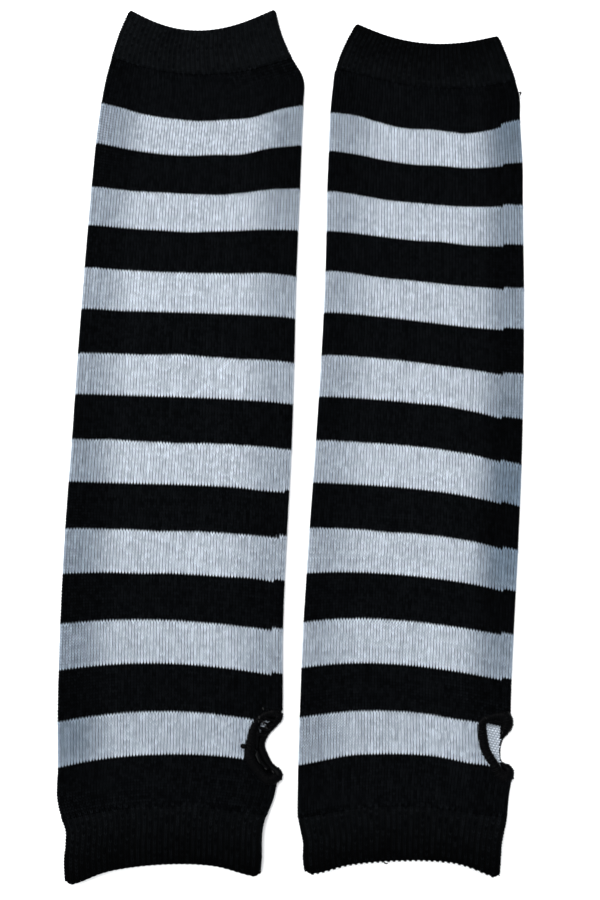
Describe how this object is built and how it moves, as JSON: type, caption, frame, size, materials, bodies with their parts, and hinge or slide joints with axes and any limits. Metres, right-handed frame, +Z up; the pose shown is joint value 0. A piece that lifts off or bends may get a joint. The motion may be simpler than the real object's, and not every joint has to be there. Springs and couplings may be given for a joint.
{
  "type": "pair of knitted arm warmers",
  "caption": "Pair of long knitted arm warmers in black and silver grey stripes, with ribbed turned welts and edged thumb holes in the fold, laid flat side by side.",
  "frame": {"origin": "middle of the pair's footprint, on the surface that the cloth lies on", "axes": "+Y runs from the hands to the upper arms, +X to the right of the pair as seen from above, +Z up from the surface"},
  "size_m": [0.1953, 0.3695, 0.0052],
  "materials": {
    "black_rib_knit": "matt",
    "striped_knit": "matt, black and silver grey stripes",
    "edging_thread": "satin thread"
  },
  "bodies": {
    "root": {"left_upper_welt": "black_rib_knit", "left_striped_tube": "striped_knit", "left_hand_welt": "black_rib_knit", "left_thumb_edging": "edging_thread", "right_upper_welt": "black_rib_knit", "right_striped_tube": "striped_knit", "right_hand_welt": "black_rib_knit", "right_thumb_edging": "edging_thread"}
  },
  "joints": []
}
